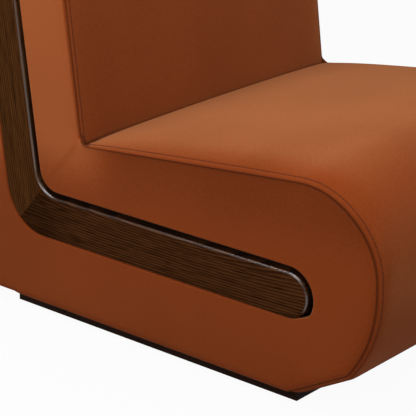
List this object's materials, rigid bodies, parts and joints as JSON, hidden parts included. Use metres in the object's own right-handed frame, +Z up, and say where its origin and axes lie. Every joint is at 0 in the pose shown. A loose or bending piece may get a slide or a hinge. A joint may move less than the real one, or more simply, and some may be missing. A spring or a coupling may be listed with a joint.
{
  "type": "accent chair",
  "caption": "Armless upholstered lounge chair: a thick bent ribbon of velvet seat and back, with a mitred dark wood inlay in each side, on a low wood plinth.",
  "frame": {"origin": "centre of the chair's footprint box, on the floor", "axes": "+Z up, -Y the way the sitter faces, +X to the sitter's left"},
  "size_m": [0.672, 0.9595, 0.7517],
  "materials": {
    "velvet": "short-pile rust-orange velvet with a soft sheen",
    "stained_wood": "dark-stained open-grain hardwood, satin",
    "plywood": "raw birch plywood",
    "rail_wood": "planed softwood",
    "hardboard": "brown hardboard",
    "foam": "cut polyurethane foam",
    "felt": "pressed felt",
    "webbing": "woven elastic webbing",
    "dust_cloth": "black non-woven cloth",
    "channel_black": "matt black",
    "spring_steel": "drawn spring wire",
    "zinc_steel": "zinc plated",
    "glide_plastic": "moulded, matt"
  },
  "bodies": {
    "root": {"seat_cover": "velvet", "inside_back_cover": "velvet", "outside_back_cover": "velvet", "side_cover_left": "velvet", "side_cover_right": "velvet", "inlay_rail_left": "stained_wood", "inlay_rail_right": "stained_wood", "inlay_stile_left": "stained_wood", "inlay_stile_right": "stained_wood", "plinth_front_board": "stained_wood", "plinth_rear_board": "stained_wood", "plinth_side_board_left": "stained_wood", "plinth_side_board_right": "stained_wood", "side_frame_left": "plywood", "side_frame_right": "plywood", "front_rail": "rail_wood", "seat_back_rail": "rail_wood", "bottom_front_rail": "rail_wood", "bottom_rear_rail": "rail_wood", "centre_stretcher": "rail_wood", "back_top_rail": "rail_wood", "back_lower_rail": "rail_wood", "frame_corner_blocks": "rail_wood", "inlay_tongues": "rail_wood", "rear_panel": "hardboard", "seat_core_foam": "foam", "seat_topper": "foam", "back_core_foam": "foam", "back_topper": "foam", "rear_pad": "foam", "seat_side_pad_left": "foam", "seat_side_pad_right": "foam", "back_side_pad_left": "foam", "back_side_pad_right": "foam", "seat_insulator": "felt", "back_webbing": "webbing", "dust_cover": "dust_cloth", "channel_liner_left": "channel_black", "channel_liner_right": "channel_black", "seat_springs": "spring_steel", "spring_clips": "spring_steel", "inlay_screws": "zinc_steel", "plinth_screws": "zinc_steel", "floor_glides": "glide_plastic"}
  },
  "joints": []
}
